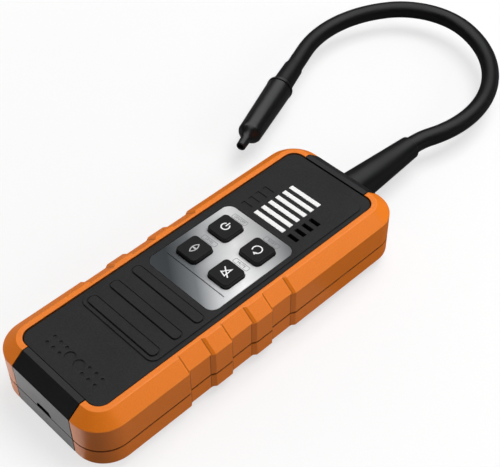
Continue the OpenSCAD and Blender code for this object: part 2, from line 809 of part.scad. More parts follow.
// The tapered strain relief, held by its flange behind the end wall
module neck_boss() {
    out_s = end_y - boss_y;
    tip = out_s + boss_l;
    socket_d = neck_d + 2 * neck_gap;
    bore_d = barb_d - 1.2;
    color("#1b1b1d") translate([0, boss_y, rear_h]) rotate([-90, 0, 0]) rotate_extrude()
        polygon([[bore_d / 2, -barb_l], [barb_d / 2, -barb_l], [barb_d / 2, 0], [boss_flange_d / 2, 0],
            [boss_flange_d / 2, boss_flange_t], [boss_d0 / 2, boss_flange_t],
            [boss_d0 / 2, out_s + boss_neck_l],
            [boss_d1 / 2, tip - 0.4], [boss_d1 / 2 - 0.4, tip], [socket_d / 2, tip],
            [socket_d / 2, tip - boss_socket - 0.2], [bore_d / 2, tip - boss_socket - 3]]);
}

// One round section of the neck at the pose p, as points
function neck_ring(p) = [for (k = [0 : neck_sides - 1])
    let (t = 360 * k / neck_sides, side = neck_d / 2 * cos(t))
    [p[0] + side * sin(p[2]), p[1] - side * cos(p[2]), neck_d / 2 * sin(t)]];

// The neck is one smooth tube swept along its course
module gooseneck() {
    last = len(neck_poses) - 1;
    points = [for (p = neck_poses) each neck_ring(p)];
    walls = [for (i = [0 : last - 1], k = [0 : neck_sides - 1])
        let (next = (k + 1) % neck_sides, low = i * neck_sides, high = low + neck_sides)
        [low + k, low + next, high + next, high + k]];
    root_cap = [for (k = [0 : neck_sides - 1]) neck_sides - 1 - k];
    tip_cap = [for (k = [0 : neck_sides - 1]) last * neck_sides + k];
    color("#1b1b1d") translate([0, 0, rear_h])
        polyhedron(points, concat(walls, [root_cap, tip_cap]), convexity = 6);
}

// Places a part that is turned about the sensor's axis, with its stations along that axis
module on_sensor_axis() {
    translate([sleeve_p[0], sleeve_p[1], rear_h]) rotate([0, 0, sleeve_p[2]]) rotate([0, 90, 0]) children();
}

module sensor_sleeve() {
    socket_d = neck_d + 2 * neck_gap;
    color("#1b1b1d") on_sensor_axis() rotate_extrude()
        polygon([[socket_d / 2, 0], [sleeve_d0 / 2, 0], [sleeve_d1 / 2, sleeve_l], [neck_bore_d / 2, sleeve_l],
            [neck_bore_d / 2, sleeve_socket + 0.2], [socket_d / 2, sleeve_socket + 0.2]]);
}

module sensor_holder() {
    spigot_d = cap_bore_d - 2 * cap_gap;
    color("#1b1b1d") on_sensor_axis() rotate_extrude()
        polygon([[neck_bore_d / 2, collar_s], [sleeve_d1 / 2 + 0.3, collar_s],
            [collar_d / 2, collar_s + collar_bevel], [collar_d / 2, spigot_s - 0.3],
            [collar_d / 2 - 0.3, spigot_s], [spigot_d / 2, spigot_s],
            [spigot_d / 2, sensor_s - 0.5], [spigot_d / 2 - 0.5, sensor_s], [neck_bore_d / 2, sensor_s]]);
}

module sensor_element() {
    rim_d = min(sensor_d + 1, cap_bore_d - 4 * cap_gap);
    color("#c4c6c9") on_sensor_axis() translate([0, 0, sensor_s]) rotate_extrude()
        polygon([[0, 0], [rim_d / 2, 0], [rim_d / 2, 1.2], [sensor_d / 2, 1.2],
            [sensor_d / 2, sensor_h - 0.6], [sensor_d / 2 - 0.6, sensor_h], [1.6, sensor_h],
            [1.6, sensor_h - 0.8], [0, sensor_h - 0.8]]);
}

// The pull-off cap: a tapered barrel, a hollow shoulder that runs into the nozzle, and a hole right through
module sensor_cap() {
    steps = 8;
    sweep = 0.8;
    r0 = cap_d1 / 2;
    r1 = nozzle_d0 / 2;
    shoulder = [for (i = [0 : steps]) [r1 + (r0 - r1) * (1 + cos(180 * pow(i / steps, sweep))) / 2,
        shoulder_s + cap_shoulder_l * i / steps]];
    bore_r = nozzle_bore_d / 2;
    outside = concat([[cap_bore_d / 2, cap_s], [cap_d0 / 2 - 0.3, cap_s], [cap_d0 / 2, cap_s + 0.3]],
        shoulder, [[nozzle_d1 / 2, tip_s - 0.5], [nozzle_d1 / 2 - 0.5, tip_s]]);
    inside = [[bore_r + 0.3, tip_s], [bore_r, tip_s - 0.8], [bore_r, seat_s + funnel_l],
        [cap_bore_d / 2 - 1.2, seat_s], [cap_bore_d / 2, seat_s]];
    color("#1b1b1d") on_sensor_axis() rotate_extrude() polygon(concat(outside, inside));
}

module filter_disc() {
    color("#e8e6dc") on_sensor_axis() translate([0, 0, seat_s - 0.1 - filter_t])
        cylinder(d = cap_bore_d - 2 * cap_gap, h = filter_t);
}

module screw(d, l, head_d, head_h) {
    difference() {
        union() {
            translate([0, 0, -head_h]) cylinder(d = head_d, h = head_h);
            cylinder(d = d, h = l);
        }
        for (turn = [0, 90]) rotate([0, 0, turn]) translate([0, 0, -head_h - 1]) box(head_d * 0.55, 0.7, 1.8);
    }
}

module case_screws() {
    color("#8d8f93") at_case_screws() translate([0, 0, recess_depth])
        screw(case_screw_d, case_screw_l, case_head_d, case_head_h);
}

module board_screws() {
    color("#8d8f93") front_half() at_board_posts() translate([0, 0, board_z])
        screw(board_screw_d, board_screw_l, board_screw_d * 1.9, 1.4);
}

front_case();
rear_case();
front_bumper_left();
front_bumper_right();
rear_bumper_left();
rear_bumper_right();
front_panel();
keypad_plate();
light_guide();
power_key();
reset_key();
sensitivity_key();
mute_key();
key_switches();
main_board();
bar_leds();
buzzer();
battery();
charge_port();
air_pump();
suction_hose();
neck_boss();
gooseneck();
sensor_sleeve();
sensor_holder();
sensor_element();
sensor_cap();
filter_disc();
case_screws();
board_screws();
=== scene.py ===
# %% [markdown]
# # A handheld refrigerant leak detector
# The object is a flat plastic housing with soft orange bumpers, a dark ribbed panel with four keys and
# six light bars, and a bendable neck that carries a small sensor. The solids come from a CAD model, which
# is loaded as a fixed frame. Blender could also model the whole object again, but then the two would drift
# apart, so this lesson dresses the solids: it rounds their edges, prints the signs and mixes the finishes.

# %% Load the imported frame
import math

import bmesh
import bpy
from mathutils import Matrix, Vector


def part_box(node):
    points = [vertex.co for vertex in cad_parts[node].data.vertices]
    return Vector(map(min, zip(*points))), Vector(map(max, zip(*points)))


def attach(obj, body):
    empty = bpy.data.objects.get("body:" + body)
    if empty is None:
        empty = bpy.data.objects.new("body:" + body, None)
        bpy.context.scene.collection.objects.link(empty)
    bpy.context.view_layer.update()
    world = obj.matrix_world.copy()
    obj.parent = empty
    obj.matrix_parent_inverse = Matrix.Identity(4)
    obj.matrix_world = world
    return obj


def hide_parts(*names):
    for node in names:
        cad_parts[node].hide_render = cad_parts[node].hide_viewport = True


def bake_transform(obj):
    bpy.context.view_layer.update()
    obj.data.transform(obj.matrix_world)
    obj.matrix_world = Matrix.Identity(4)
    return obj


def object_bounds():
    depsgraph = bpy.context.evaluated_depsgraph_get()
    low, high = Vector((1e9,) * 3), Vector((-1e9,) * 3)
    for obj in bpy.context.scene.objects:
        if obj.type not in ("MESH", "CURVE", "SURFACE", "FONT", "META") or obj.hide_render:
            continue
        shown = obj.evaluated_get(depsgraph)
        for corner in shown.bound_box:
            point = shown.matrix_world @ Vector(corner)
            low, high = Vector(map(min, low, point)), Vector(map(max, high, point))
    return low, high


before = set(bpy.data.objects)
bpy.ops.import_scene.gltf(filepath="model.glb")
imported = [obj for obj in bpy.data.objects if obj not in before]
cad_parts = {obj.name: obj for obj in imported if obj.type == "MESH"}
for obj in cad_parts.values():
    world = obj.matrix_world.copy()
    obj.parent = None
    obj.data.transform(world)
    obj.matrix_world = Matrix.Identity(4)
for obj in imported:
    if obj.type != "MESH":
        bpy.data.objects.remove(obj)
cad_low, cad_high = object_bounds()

MM = 0.001
scene = bpy.context.scene
scene.view_settings.view_transform = "Standard"

# %% [markdown]
# ## Camera
# The photograph looks down at the front from the lower right corner, with the long side running away to
# the upper right. A camera could be aimed with a constraint, but three axes and a place say exactly how
# it stands, so the matrix is written from them. They were solved from edges that are straight on the part.

# %% Camera at the photograph's place
camera_data = bpy.data.cameras.new("photo_camera")
camera_data.sensor_width = 36.0
camera_data.lens = 78.19
camera = bpy.data.objects.new("photo_camera", camera_data)
scene.collection.objects.link(camera)
eye = Vector((0.245716, -0.211197, 0.383340))
axes = (
    (0.700347, 0.713771, -0.006668),
    (-0.507232, 0.504222, 0.698910),
    (0.502224, -0.486097, 0.715179),
)
camera.matrix_world = Matrix.Translation(eye) @ Matrix(axes).transposed().to_4x4()
scene.camera = camera
print("camera:", round(eye.length, 3), "m from the origin")

# %% [markdown]
# ## Shader building blocks
# Every finish below is a small network of nodes. They could be wired one by one in every cell, but a few
# helpers keep the cells short: one adds a node and sets its values, one mixes two colours by a mask, one maps
# a value onto a range, one combines two values and one starts a material.

# %% Helpers for nodes
COLOUR_A, COLOUR_B, COLOUR_OUT = 6, 7, 2


def rgb(red, green, blue):
    """A colour that is fully opaque."""
    return (red, green, blue, 1.0)


def add(tree, kind, inputs=None, **values):
    """Adds a node, sets its properties and the constants of its inputs."""
    node = tree.nodes.new(kind)
    for key, value in values.items():
        setattr(node, key, value)
    for key, value in (inputs or {}).items():
        node.inputs[key].default_value = value
    return node


def mix(tree, mask, first, second):
    """Mixes two colours by a mask. A colour is four numbers or a socket."""
    node = add(tree, "ShaderNodeMix", data_type="RGBA")
    tree.links.new(mask, node.inputs[0])
    for index, colour in ((COLOUR_A, first), (COLOUR_B, second)):
        if isinstance(colour, bpy.types.NodeSocket):
            tree.links.new(colour, node.inputs[index])
        else:
            node.inputs[index].default_value = colour
    return node.outputs[COLOUR_OUT]


def spread(tree, value, low, high, to_low, to_high):
    """Maps a value from one range onto another."""
    node = add(tree, "ShaderNodeMapRange", {1: low, 2: high, 3: to_low, 4: to_high})
    tree.links.new(value, node.inputs[0])
    return node.outputs[0]


def combine(tree, operation, first, second):
    """Combines two values with a maths node."""
    node = add(tree, "ShaderNodeMath", operation=operation)
    tree.links.new(first, node.inputs[0])
    tree.links.new(second, node.inputs[1])
    return node.outputs[0]


def new_material(name):
    """A material with its node tree and its Principled shader."""
    material = bpy.data.materials.new(name)
    material.use_nodes = True
    return material, material.node_tree, material.node_tree.nodes["Principled BSDF"]


print("node helpers ready")

# %% [markdown]
# ## Groups of nodes
# Grain, edge wear with a painted highlight, painted shade and brushing each show on more than one material.
# The same nodes could be copied into all of them, but a node group is built once, and a material then places
# it with its own values.

# %% Helpers for node groups
def new_group(name, inputs, outputs):
    """An empty shader node group with named float sockets."""
    tree = bpy.data.node_groups.new(name, "ShaderNodeTree")
    for label, value in inputs:
        socket = tree.interface.new_socket(label, in_out="INPUT", socket_type="NodeSocketFloat")
        socket.default_value = value
    for label in outputs:
        tree.interface.new_socket(label, in_out="OUTPUT", socket_type="NodeSocketFloat")
    return tree, tree.nodes.new("NodeGroupInput"), tree.nodes.new("NodeGroupOutput")


def use_group(tree, name, **values):
    """Places a node group in a tree with its own values."""
    node = add(tree, "ShaderNodeGroup", node_tree=bpy.data.node_groups[name])
    for label, value in values.items():
        node.inputs[label.replace("_", " ")].default_value = value
    return node


print("group helpers ready")

# %% [markdown]
# ## Grain of moulded plastic
# A mould is spark eroded, so plastic comes out of it with a fine pebbled skin, and the skin shines a little
# unevenly. A picture of grain could be wrapped on, but every part would have to be laid flat for it, while
# noise fills the space a part is in. One noise gives the pebbles and a slow one the uneven sheen. The group
# puts out plain values, so each material can decide how deep and how shiny the grain is. Most of a noise
# lies in its middle range, which is stretched to run from 0 to 1.

# %% Node group: moulded grain
NOISE_RANGE = (0.3, 0.7)
CELL_SHARE = 0.6
tree, given, out = new_group("moulded_grain", [("Grain scale", 2500.0), ("Patch scale", 40.0)],
                             ["Height", "Shade", "Patch"])
place = add(tree, "ShaderNodeTexCoord")
pebble = add(tree, "ShaderNodeTexNoise", {"Detail": 2.0, "Roughness": 0.6})
cell = add(tree, "ShaderNodeTexVoronoi", feature="SMOOTH_F1")
patch = add(tree, "ShaderNodeTexNoise", {"Detail": 3.0, "Roughness": 0.55})
for texture, label in ((pebble, "Grain scale"), (cell, "Grain scale"), (patch, "Patch scale")):
    tree.links.new(place.outputs["Object"], texture.inputs["Vector"])
    tree.links.new(given.outputs[label], texture.inputs["Scale"])
both = add(tree, "ShaderNodeMath", operation="MULTIPLY_ADD", inputs={1: CELL_SHARE})
tree.links.new(cell.outputs["Distance"], both.inputs[0])
tree.links.new(pebble.outputs["Fac"], both.inputs[2])
tree.links.new(both.outputs[0], out.inputs["Height"])
tree.links.new(spread(tree, pebble.outputs["Fac"], *NOISE_RANGE, 0.0, 1.0), out.inputs["Shade"])
tree.links.new(spread(tree, patch.outputs["Fac"], *NOISE_RANGE, 0.0, 1.0), out.inputs["Patch"])
print("group:", tree.name)

# %% [markdown]
# ## Pale edges: wear and painted highlight
# Handling polishes and pales the edges first, and the paler edges also stand in for the thin highlights
# that run along them, so they are partly a painted highlight. Cycles can find edges with pointiness, but that
# depends on how dense a mesh is. Here the step that rounds an edge also marks its new faces, and the group
# breaks that mark up with noise.

# %% Node group: mask of the rounded edges
def mark_group(name, attribute, amount, breakup_scale, detail, noise_range, kept):
    """A group that reads a mark on the faces and breaks it up with noise."""
    tree, given, out = new_group(name, [("Amount", amount), ("Breakup scale", breakup_scale)], ["Mask"])
    mark = add(tree, "ShaderNodeAttribute", attribute_name=attribute)
    place = add(tree, "ShaderNodeTexCoord")
    breakup = add(tree, "ShaderNodeTexNoise", {"Detail": detail})
    tree.links.new(place.outputs["Object"], breakup.inputs["Vector"])
    tree.links.new(given.outputs["Breakup scale"], breakup.inputs["Scale"])
    uneven = spread(tree, breakup.outputs["Fac"], *noise_range, *kept)
    broken = combine(tree, "MULTIPLY", mark.outputs["Fac"], uneven)
    tree.links.new(combine(tree, "MULTIPLY", broken, given.outputs["Amount"]), out.inputs["Mask"])
    print("group:", tree.name)


# The mask of the rounded edges, for paler edges of wear and painted highlight.
mark_group("rounded_edge_mask", "rim", amount=0.4, breakup_scale=300.0, detail=4.0,
           noise_range=(0.35, 0.65), kept=(0.45, 1.0))

# %% [markdown]
# ## Painted shade in the open lines
# Shade is painted into the places where little light reaches: between the two halves, on the steps of the
# grip, along the wall beside the panel and in inside corners. An ambient occlusion node could find such
# places, but it takes in far more than the open lines. The rounding step further down marks just their
# faces, and this group breaks the mark up a little.

# %% Node group: painted shade in the open lines
# A mask of painted shade, read from the crevice mark.
mark_group("crevice_painted_shade", "crevice", amount=0.8, breakup_scale=500.0, detail=3.0,
           noise_range=NOISE_RANGE, kept=(0.8, 1.0))

# %% [markdown]
# ## Brushed lines
# The keypad plate and the small metal parts are brushed: fine scratches that run one way. An anisotropic
# shader would draw the gloss out along them, but it shows no single scratch. A noise that is squeezed along
# one axis and stretched along the other does.

# %% Node group: brushed lines
tree, given, out = new_group("brushed_lines", [("Along", 120.0), ("Across", 9000.0)], ["Height", "Shade"])
place = add(tree, "ShaderNodeTexCoord")
stretch = add(tree, "ShaderNodeCombineXYZ")
for axis, label in enumerate(("Across", "Along", "Across")):
    tree.links.new(given.outputs[label], stretch.inputs[axis])
lay = add(tree, "ShaderNodeVectorMath", operation="MULTIPLY")
tree.links.new(place.outputs["Object"], lay.inputs[0])
tree.links.new(stretch.outputs[0], lay.inputs[1])
hair = add(tree, "ShaderNodeTexNoise", {"Scale": 1.0, "Detail": 3.0, "Roughness": 0.65})
tree.links.new(lay.outputs[0], hair.inputs["Vector"])
tree.links.new(hair.outputs["Fac"], out.inputs["Height"])
tree.links.new(spread(tree, hair.outputs["Fac"], *NOISE_RANGE, 0.0, 1.0), out.inputs["Shade"])
print("group:", tree.name)

# %% [markdown]
# ## Moulded finishes
# The bumpers, shells, panel, keys, neck and cap are all moulded, so one function makes their materials from
# the grain, edge and shade groups: two close shades, a range of roughness, the depth of the grain, a paler
# edge that is worn where hands touch it and also a painted highlight, and painted shade in the open lines.
# How strongly a finish mirrors its surroundings is a constant of its own, and the cap has a thin glossy coat.

# %% A function for moulded materials
GRAIN_STRENGTH = 0.5
PAINTED_SHADE_AMOUNT = 0.9
COAT_ROUGHNESS = 0.28


def moulded(name, deep, pale, rough, *, grain_scale, depth_mm, specular,
            worn_lit_edge=None, worn_lit_amount=0.4, painted_shade=None, gloss=0.0):
    """A moulded material between two shades, with grain, uneven sheen, pale edges of wear and painted
    highlight, and painted shade in the open lines.
    """
    material, tree, shader = new_material(name)
    grain = use_group(tree, "moulded_grain", Grain_scale=grain_scale)
    colour = mix(tree, grain.outputs["Shade"], rgb(*deep), rgb(*pale))
    # Paler rounded edges: partly wear, partly a painted highlight.
    if worn_lit_edge:
        edge = use_group(tree, "rounded_edge_mask", Amount=worn_lit_amount)
        colour = mix(tree, edge.outputs["Mask"], colour, rgb(*worn_lit_edge))
    # Painted shade: the open lines, grip steps and inside corners turn darker.
    if painted_shade:
        line = use_group(tree, "crevice_painted_shade", Amount=PAINTED_SHADE_AMOUNT)
        colour = mix(tree, line.outputs["Mask"], colour, rgb(*painted_shade))
    tree.links.new(colour, shader.inputs["Base Color"])
    tree.links.new(spread(tree, grain.outputs["Patch"], 0.0, 1.0, *rough), shader.inputs["Roughness"])
    bump = add(tree, "ShaderNodeBump", {"Strength": GRAIN_STRENGTH, "Distance": depth_mm * MM})
    tree.links.new(grain.outputs["Height"], bump.inputs["Height"])
    tree.links.new(bump.outputs[0], shader.inputs["Normal"])
    shader.inputs["Specular IOR Level"].default_value = specular
    shader.inputs["Coat Weight"].default_value = gloss
    shader.inputs["Coat Roughness"].default_value = COAT_ROUGHNESS
    return material


print("groups to mix:", [group.name for group in bpy.data.node_groups])

# %% Materials for moulded parts
# The last colour of the bumpers and the shells is their painted shade in the open lines.
orange_rubber = moulded("orange_rubber", (0.78, 0.180, 0.003), (0.86, 0.210, 0.006), (0.38, 0.48),
                        grain_scale=2200, depth_mm=0.015, specular=0.68,
                        worn_lit_edge=(0.92, 0.30, 0.05), worn_lit_amount=0.3, painted_shade=(0.030, 0.008, 0.001))
shell_black = moulded("shell_black", (0.008, 0.008, 0.009), (0.014, 0.014, 0.015), (0.32, 0.42),
                      grain_scale=1800, depth_mm=0.015, specular=0.38,
                      worn_lit_edge=(0.025, 0.025, 0.027), worn_lit_amount=0.35, painted_shade=(0.004, 0.004, 0.004))
panel_grey = moulded("panel_grey", (0.012, 0.012, 0.0125), (0.020, 0.020, 0.0205), (0.46, 0.58),
                     grain_scale=1500, depth_mm=0.025, specular=0.26,
                     worn_lit_edge=(0.03, 0.03, 0.032), worn_lit_amount=0.3)
key_rubber = moulded("key_rubber", (0.006, 0.006, 0.0065), (0.010, 0.010, 0.0105), (0.48, 0.60),
                     grain_scale=1700, depth_mm=0.02, specular=0.25,
                     worn_lit_edge=(0.02, 0.02, 0.021), worn_lit_amount=0.3)
neck_black = moulded("neck_black", (0.004, 0.004, 0.0045), (0.007, 0.007, 0.0075), (0.34, 0.44),
                     grain_scale=2000, depth_mm=0.012, specular=0.64)
cap_black = moulded("cap_black", (0.004, 0.004, 0.0045), (0.008, 0.008, 0.0085), (0.30, 0.38),
                    grain_scale=2400, depth_mm=0.010, specular=0.58,
                    worn_lit_edge=(0.05, 0.05, 0.052), worn_lit_amount=0.5, gloss=0.7)
bar_white = moulded("bar_white", (0.84, 0.84, 0.83), (0.90, 0.90, 0.89), (0.30, 0.42),
                    grain_scale=1200, depth_mm=0.02, specular=0.4)
for material in (orange_rubber, shell_black, panel_grey, key_rubber, neck_black, cap_black, bar_white):
    print("moulded:", material.name, len(material.node_tree.nodes), "nodes")

# %% [markdown]
# ## Printed ink
# The signs, labels and the rule on the plate are printed. Ink could be one white for all, but on the object
# the signs are bright, the sign on the sensitivity key is softer, the labels are grey and the rule is dark.
# All four have a very fine grain.

# %% Materials for ink
INK_SKIN = {"grain_scale": 5000, "depth_mm": 0.004}
INK_ROUGH = (0.45, 0.60)
white_ink = moulded("white_ink", (0.82, 0.82, 0.82), (0.90, 0.90, 0.90), INK_ROUGH, specular=0.3, **INK_SKIN)
soft_ink = moulded("soft_ink", (0.44, 0.44, 0.44), (0.54, 0.54, 0.54), INK_ROUGH, specular=0.3, **INK_SKIN)
grey_ink = moulded("grey_ink", (0.14, 0.145, 0.15), (0.20, 0.205, 0.21), INK_ROUGH, specular=0.3, **INK_SKIN)
dark_ink = moulded("dark_ink", (0.010, 0.010, 0.011), (0.016, 0.016, 0.017), (0.50, 0.65),
                   specular=0.2, **INK_SKIN)
print("inks:", [ink.name for ink in (white_ink, soft_ink, grey_ink, dark_ink)])

# %% [markdown]
# ## Brushed metal
# The screws in the back, the charging socket and the sensor's can are metal. A plain metallic shader would
# look like chrome, so the function that they share lets brushed lines vary the colour and the roughness.

# %% Materials for metal parts
BRUSH_STRENGTH = 0.3
BRUSH_DEPTH = 0.01 * MM


def brush(tree, shader, lines, rough):
    """Lets brushed lines vary a shader's roughness and relief."""
    tree.links.new(spread(tree, lines.outputs["Shade"], 0.0, 1.0, *rough), shader.inputs["Roughness"])
    bump = add(tree, "ShaderNodeBump", {"Strength": BRUSH_STRENGTH, "Distance": BRUSH_DEPTH})
    tree.links.new(lines.outputs["Height"], bump.inputs["Height"])
    tree.links.new(bump.outputs[0], shader.inputs["Normal"])


def metal(name, deep, pale, rough):
    """Brushed metal between two shades."""
    material, tree, shader = new_material(name)
    lines = use_group(tree, "brushed_lines", Along=400.0, Across=6000.0)
    tree.links.new(mix(tree, lines.outputs["Shade"], rgb(*deep), rgb(*pale)), shader.inputs["Base Color"])
    brush(tree, shader, lines, rough)
    shader.inputs["Metallic"].default_value = 1.0
    return material


screw_steel = metal("screw_steel", (0.32, 0.33, 0.34), (0.46, 0.47, 0.48), (0.30, 0.42))
socket_steel = metal("socket_steel", (0.48, 0.49, 0.50), (0.60, 0.61, 0.62), (0.25, 0.35))
sensor_steel = metal("sensor_steel", (0.50, 0.51, 0.52), (0.64, 0.65, 0.66), (0.22, 0.32))
print("metals:", [steel.name for steel in (screw_steel, socket_steel, sensor_steel)])

# %% [markdown]
# ## The silver keypad plate
# The plate is brushed and carries a painted reflection: it is dark in the lower left corner, almost white
# through the middle and cooler again towards the upper right corner. A real reflection of a lamp would
# wander with the view, so this painted one is drawn along the plate's own diagonal. A second, weaker painted
# brightening across that diagonal makes the lower right corner paler.

# %% Painted reflection on the plate
DIAGONAL = Vector((0.56, 0.83, 0.0))
CROSSWISE = Vector((DIAGONAL.y, -DIAGONAL.x, 0.0))
REFLECTION_REACH = (-0.0331, 0.0329)
REFLECTION_STOPS = (
    (0.0, 0.042, 0.048, 0.052),
    (0.14, 0.034, 0.040, 0.044),
    (0.30, 0.16, 0.17, 0.18),
    (0.42, 0.49, 0.50, 0.51),
    (0.61, 0.84, 0.84, 0.84),
    (0.80, 0.49, 0.495, 0.50),
    (1.0, 0.10, 0.104, 0.108),
)
LIFT_REACH = (-0.020, 0.027)
LIFT_RANGE = (0.86, 1.22)
plate_low, plate_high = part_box("keypad_plate")
plate_mid = (plate_low + plate_high) / 2
plate_silver, tree, shader = new_material("plate_silver")
place = add(tree, "ShaderNodeTexCoord")


def fade_along(tree, place, direction, reach, to_range):
    """Maps how far a point lies along a direction, counted from the plate's middle."""
    along = add(tree, "ShaderNodeVectorMath", operation="DOT_PRODUCT")
    along.inputs[1].default_value = direction
    tree.links.new(place.outputs["Object"], along.inputs[0])
    start = direction.dot(plate_mid)
    return spread(tree, along.outputs["Value"], start + reach[0], start + reach[1], *to_range)


# A painted reflection along the diagonal: dark, almost white, then cooler.
fade = add(tree, "ShaderNodeValToRGB")
while len(fade.color_ramp.elements) < len(REFLECTION_STOPS):
    fade.color_ramp.elements.new(0.5)
for element, (position, *shade) in zip(fade.color_ramp.elements, REFLECTION_STOPS):
    element.position = position
    element.color = rgb(*shade)
tree.links.new(fade_along(tree, place, DIAGONAL, REFLECTION_REACH, (0.0, 1.0)), fade.inputs[0])
# A weaker painted brightening across the diagonal.
lift = add(tree, "ShaderNodeVectorMath", operation="SCALE")
tree.links.new(fade.outputs[0], lift.inputs[0])
tree.links.new(fade_along(tree, place, CROSSWISE, LIFT_REACH, LIFT_RANGE), lift.inputs["Scale"])
print("plate fade over", len(REFLECTION_STOPS), "stops")

# %% Brushing of the plate
SCRATCH_SHADES = (rgb(0.90, 0.90, 0.90), rgb(1.0, 1.0, 1.0))
PLATE_RIM = rgb(0.20, 0.21, 0.22)
PLATE_ROUGH = (0.34, 0.46)
lines = use_group(tree, "brushed_lines", Along=150.0, Across=5000.0)
scratched = add(tree, "ShaderNodeMix", data_type="RGBA", blend_type="MULTIPLY", inputs={0: 1.0})
tree.links.new(lift.outputs[0], scratched.inputs[COLOUR_A])
tree.links.new(mix(tree, lines.outputs["Shade"], *SCRATCH_SHADES), scratched.inputs[COLOUR_B])
edge = use_group(tree, "rounded_edge_mask", Amount=0.5)
rimmed = mix(tree, edge.outputs["Mask"], scratched.outputs[COLOUR_OUT], PLATE_RIM)
tree.links.new(rimmed, shader.inputs["Base Color"])
brush(tree, shader, lines, PLATE_ROUGH)
shader.inputs["Metallic"].default_value = 0.15
shader.inputs["Specular IOR Level"].default_value = 0.25
print("plate material:", len(tree.nodes), "nodes")

# %% [markdown]
# ## Parts that keep their solids
# The board, battery, pump and hose are closed in and only show when a case is opened. The screws in the
# back, the charging socket and the sensor show from outside, and their solids are right. None of them needs
# a new mesh, yet each one has its own finish, so that a section or an exploded view looks right.

# %% Materials for the parts inside
board_green = moulded("board_green", (0.010, 0.075, 0.028), (0.016, 0.115, 0.042), (0.25, 0.35),
                      grain_scale=700, depth_mm=0.02, specular=0.5)
battery_blue = moulded("battery_blue", (0.035, 0.115, 0.30), (0.05, 0.15, 0.38), (0.18, 0.30),
                       grain_scale=600, depth_mm=0.03, specular=0.5)
pump_grey = moulded("pump_grey", (0.20, 0.21, 0.22), (0.28, 0.29, 0.30), (0.35, 0.5),
                    grain_scale=1500, depth_mm=0.02, specular=0.5)
hose_clear = moulded("hose_clear", (0.55, 0.52, 0.40), (0.66, 0.62, 0.48), (0.2, 0.3),
                     grain_scale=900, depth_mm=0.01, specular=0.5)
switch_black = moulded("switch_black", (0.02, 0.02, 0.022), (0.035, 0.035, 0.037), (0.4, 0.5),
                       grain_scale=1500, depth_mm=0.02, specular=0.5)
lamp_white = moulded("lamp_white", (0.78, 0.76, 0.66), (0.86, 0.84, 0.74), (0.3, 0.4),
                     grain_scale=1500, depth_mm=0.01, specular=0.5)
filter_white = moulded("filter_white", (0.58, 0.57, 0.52), (0.80, 0.79, 0.74), (0.8, 0.95),
                       grain_scale=900, depth_mm=0.15, specular=0.1)
print("materials so far:", len(bpy.data.materials))

# %% Dress the kept solids
KEPT_SOLIDS = {
    "key_switches": switch_black, "main_board": board_green, "bar_leds": lamp_white, "buzzer": switch_black,
    "battery": battery_blue, "charge_port": socket_steel, "air_pump": pump_grey, "suction_hose": hose_clear,
    "sensor_element": sensor_steel, "filter_disc": filter_white, "case_screws": screw_steel,
    "board_screws": screw_steel,
}


def coat(piece, material):
    """Gives a whole piece one material."""
    if not piece.data.materials:
        piece.data.materials.append(material)
    for slot in piece.material_slots:
        slot.material = material


for node, material in KEPT_SOLIDS.items():
    coat(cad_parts[node], material)
print("kept solids dressed:", len(KEPT_SOLIDS))

# %% [markdown]
# ## Edges and open lines
# A CAD solid has knife edges, and nothing moulded does. Before they are rounded, a few tests sort them: an
# edge is sharp if its faces turn more than a given angle, and it belongs to the parting line if it lies near
# that plane. A face gets a mark from 0 to 1 for painted shade: most on faces that look into an open line,
# less on the steps of the grip, and some in inside corners.

# %% Tests for edges and faces
SHARP = math.radians(22.0)
SEAM_Z = 0.014
SEAM_EDGE_REACH = 0.6 * MM
SEAM_FACE_REACH = 0.4 * MM
GRIP_REACH = 0.060
# How strong the painted shade is in open lines and on the steps of the grip.
OPEN_LINE_SHADE = 1.0
GRIP_STEP_SHADE = 0.7
# A face is level above the first upward share of its normal and upright below the second. It is a step of the
# grip above the third, which counts along the length.
LEVEL, UPRIGHT, GRIP_STEP = 0.8, 0.3, 0.45


def at_seam(edge):
    """True for an edge along the parting line."""
    return all(abs(v.co.z - SEAM_Z) < SEAM_EDGE_REACH for v in edge.verts)


def sharp_edges(mesh, keep):
    """The sharp edges that a test keeps."""
    return [e for e in mesh.edges if e.is_manifold and e.calc_face_angle(0.0) > SHARP and keep(e)]


def open_line_shade(face):
    """The painted shade mark of faces that look into the parting line, of grip steps and of walls that look
    inwards.
    """
    middle, normal = face.calc_center_median(), face.normal
    if abs(normal.z) > LEVEL and abs(middle.z - SEAM_Z) < SEAM_FACE_REACH:
        return OPEN_LINE_SHADE
    if normal.y > GRIP_STEP and abs(middle.y) < GRIP_REACH:
        return GRIP_STEP_SHADE
    return OPEN_LINE_SHADE if abs(normal.z) < UPRIGHT and normal.xy.dot(middle.xy) < 0.0 else 0.0


def hollow(face):
    """True where the faces around a rounding stand up from it, as in an inside corner."""
    middle = face.calc_center_median()
    around = {other for edge in face.edges for other in edge.link_faces if other != face}
    return sum((other.calc_center_median() - middle).dot(face.normal) for other in around) > 0.0


def beside(face, others):
    """True where a face shares an edge with one of the others."""
    return any(other in others for edge in face.edges for other in edge.link_faces if other != face)


print("parting line at z", SEAM_Z / MM, "mm")

# %% [markdown]
# ## Rounded edges
# A bevel modifier would round the edges, but it can't say which faces it made. The same bevel runs here in
# bmesh: it rounds the sharp edges and marks the new faces as rim, which the pale edge of wear and painted
# highlight reads. Along the parting line the radius is smaller, so the open line between the halves stays
# fine. The roundings along that line, in inside corners and beside a face that looks into an open line are
# marked as crevice instead, for painted shade, and the mark fades within two rows of faces.

